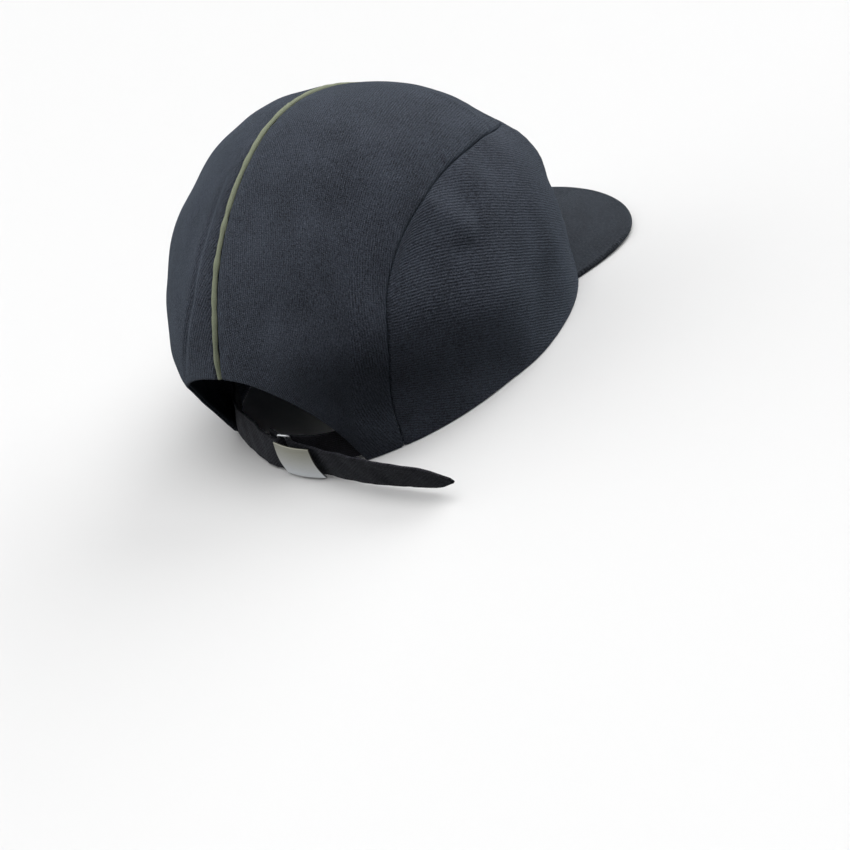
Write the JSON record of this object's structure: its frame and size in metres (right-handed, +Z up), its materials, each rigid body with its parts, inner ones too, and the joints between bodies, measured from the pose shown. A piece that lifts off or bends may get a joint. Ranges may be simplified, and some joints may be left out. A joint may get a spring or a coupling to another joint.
{
  "type": "five-panel cap",
  "caption": "Soft low-crowned camp cap with a flat peak, an open arch at the back, and a cloth strap drawn through a metal buckle to fit the head.",
  "frame": {"origin": "on the plane of the rim, below the middle of the whole cap, peak and strap included", "axes": "+Z up through the crown, -Y towards the peak, -X towards the wearer's right side"},
  "size_m": [0.1804, 0.2508, 0.1292],
  "materials": {
    "twill": "dark navy wool twill, matt with a soft sheen",
    "strap_cloth": "near-black twill, matt",
    "piping_cloth": "olive cotton, matt",
    "satin_metal": "satin, finely brushed along its length"
  },
  "bodies": {
    "root": {"front_panel": "twill", "side_panel_right": "twill", "side_panel_left": "twill", "back_panel_right": "twill", "back_panel_left": "twill", "back_piping": "piping_cloth", "peak": "twill", "strap_left": "strap_cloth", "strap_right": "strap_cloth", "buckle_plate": "satin_metal", "buckle_frame": "satin_metal"}
  },
  "joints": []
}
